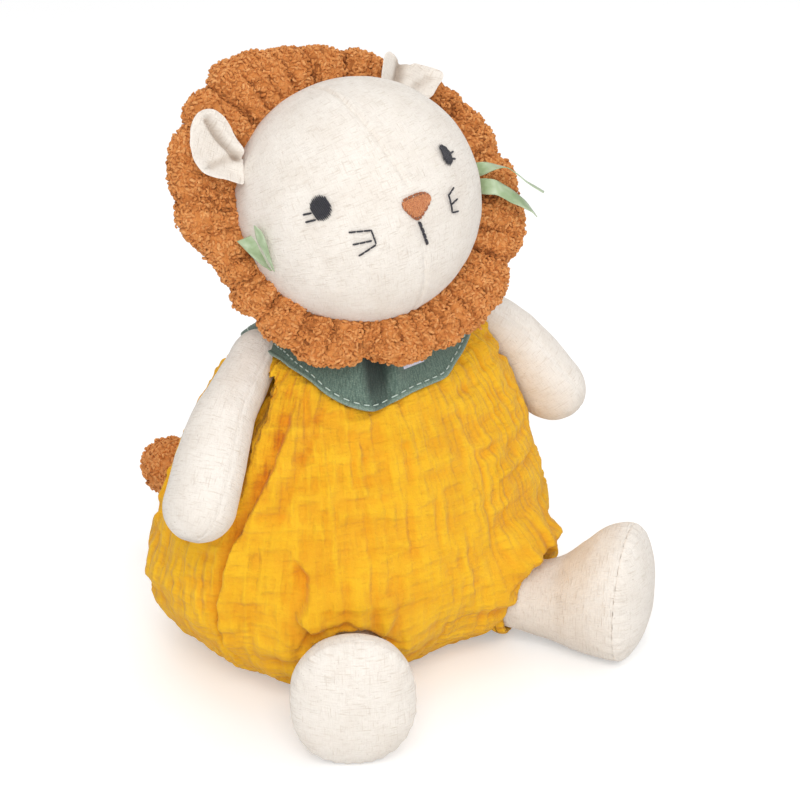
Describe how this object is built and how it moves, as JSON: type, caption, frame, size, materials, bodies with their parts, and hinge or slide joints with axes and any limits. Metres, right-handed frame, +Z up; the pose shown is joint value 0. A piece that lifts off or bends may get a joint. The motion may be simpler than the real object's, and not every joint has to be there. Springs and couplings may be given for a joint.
{
  "type": "plush lion",
  "caption": "Seated soft lion in a gathered romper, with a frilled curly mane, stitched face, neckerchief, dangling arms, flared feet and a tufted tail.",
  "frame": {"origin": "middle of the flat seat, on the ground", "axes": "+Z up, -Y the way the lion sits facing, +X to the lion's own left"},
  "size_m": [0.2135, 0.2299, 0.2579],
  "materials": {
    "linen": "matte, slubbed weave",
    "muslin": "matte, crinkled double gauze",
    "boucle": "curly pile",
    "twill": "matte, napped twill",
    "satin": "satin weave",
    "black_thread": "satin stitch",
    "rust_thread": "satin stitch",
    "filling": "loose fibre",
    "elastic": "woven elastic",
    "tape": "bare woven tape"
  },
  "bodies": {
    "torso": {"romper": "muslin", "body_lining": "linen", "body_stuffing": "filling", "pellet_pouch": "linen", "neckerchief": "twill", "blank_tag": "tape", "left_leg_cuff": "muslin", "left_cuff_elastic": "elastic", "right_leg_cuff": "muslin", "right_cuff_elastic": "elastic"},
    "neck": {"neck_stuffing": "filling"},
    "head": {"head_bag": "linen", "head_stuffing": "filling", "mane": "boucle", "nose": "rust_thread", "mouth_stitch": "black_thread", "left_ear": "linen", "right_ear": "linen", "left_eye": "black_thread", "right_eye": "black_thread", "left_whiskers": "black_thread", "right_whiskers": "black_thread", "left_ribbon": "satin", "right_ribbon": "satin"},
    "left_arm": {"left_arm_skin": "linen", "left_arm_stuffing": "filling"},
    "right_arm": {"right_arm_skin": "linen", "right_arm_stuffing": "filling"},
    "left_leg": {"left_leg_skin": "linen", "left_leg_stuffing": "filling", "left_sole": "linen"},
    "right_leg": {"right_leg_skin": "linen", "right_leg_stuffing": "filling", "right_sole": "linen"},
    "tail": {"tail_stem": "linen", "tail_pom": "boucle"}
  },
  "joints": [
    {"name": "head_turn", "type": "hinge", "parent": "torso", "child": "neck", "pos_m": [-0.003, -0.006, 0.151], "axis": [0, 0, 1], "range_deg": [-10, 10]},
    {"name": "head_nod", "type": "hinge", "parent": "neck", "child": "head", "pos_m": [-0.003, -0.006, 0.151], "axis": [1, 0, 0], "range_deg": [-12, 0]},
    {"name": "left_arm_swing", "type": "hinge", "parent": "torso", "child": "left_arm", "pos_m": [0.051, -0.003, 0.14], "axis": [-0.4492, -0.8934, 0], "range_deg": [0, 40]},
    {"name": "right_arm_swing", "type": "hinge", "parent": "torso", "child": "right_arm", "pos_m": [-0.051, -0.003, 0.14], "axis": [-0.4492, 0.8934, 0], "range_deg": [0, 40]},
    {"name": "left_leg_lift", "type": "hinge", "parent": "torso", "child": "left_leg", "pos_m": [0.045, -0.054, 0.0215], "axis": [-0.8291, -0.5591, 0], "range_deg": [0, 15]},
    {"name": "right_leg_lift", "type": "hinge", "parent": "torso", "child": "right_leg", "pos_m": [-0.045, -0.054, 0.0215], "axis": [-0.8291, 0.5591, 0], "range_deg": [0, 15]},
    {"name": "tail_wag", "type": "hinge", "parent": "torso", "child": "tail", "pos_m": [-0.006, 0.0693, 0.04], "axis": [0, 0, 1], "range_deg": [-18, 18]}
  ]
}
